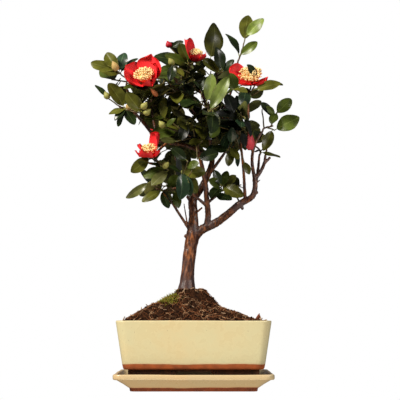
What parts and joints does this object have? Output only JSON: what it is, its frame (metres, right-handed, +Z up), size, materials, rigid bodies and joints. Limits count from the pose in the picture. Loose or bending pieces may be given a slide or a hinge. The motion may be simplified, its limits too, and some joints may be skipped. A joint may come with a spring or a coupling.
{
  "type": "camellia bonsai",
  "caption": "Small camellia trained as a bonsai, with red blossom, on a mound of soil in a glazed rectangular planter that stands on its drip tray, for display indoors or on a patio.",
  "frame": {"origin": "middle of the drip tray's flat underside", "axes": "+Z up along the tree, +X to the right and -Y towards a viewer who faces the planter's long side"},
  "size_m": [0.3549, 0.2524, 0.6421],
  "materials": {
    "glaze": "glossy cream glaze",
    "soil": "moist fibrous soil",
    "bark": "smooth matt bark",
    "leaf": "glossy leathery leaf"
  },
  "bodies": {
    "root": {"bough_back_left": "bark", "bough_back_low": "bark", "bough_back_right": "bark", "bough_back_side": "bark", "bough_back_top": "bark", "bough_front": "bark", "bough_left": "bark", "bough_left_low": "bark", "bough_left_mid": "bark", "bough_low_middle": "bark", "bough_low_right": "bark", "bough_lower_left": "bark", "bough_middle": "bark", "bough_right": "bark", "bough_right_inner": "bark", "bough_right_outer": "bark", "bough_right_rise": "bark", "bough_right_top": "bark", "bough_top": "bark", "bough_top_right": "bark", "bough_upper_left": "bark", "bough_upper_middle": "bark", "bough_upright": "bark", "drip_tray": "glaze", "foliage_back_left": "leaf", "foliage_back_low": "leaf", "foliage_back_right": "leaf", "foliage_back_side": "leaf", "foliage_back_top": "leaf", "foliage_crest": "leaf", "foliage_front": "leaf", "foliage_left_high": "leaf", "foliage_left_low": "leaf", "foliage_left_mid": "leaf", "foliage_low_middle": "leaf", "foliage_low_right": "leaf", "foliage_lower_left": "leaf", "foliage_middle": "leaf", "foliage_right": "leaf", "foliage_right_high": "leaf", "foliage_right_low": "leaf", "foliage_right_mid": "leaf", "foliage_top": "leaf", "foliage_top_right": "leaf", "foliage_upper_left": "leaf", "foliage_upper_middle": "leaf", "leader": "bark", "pot": "glaze", "soil": "soil", "trunk": "bark"}
  },
  "joints": []
}
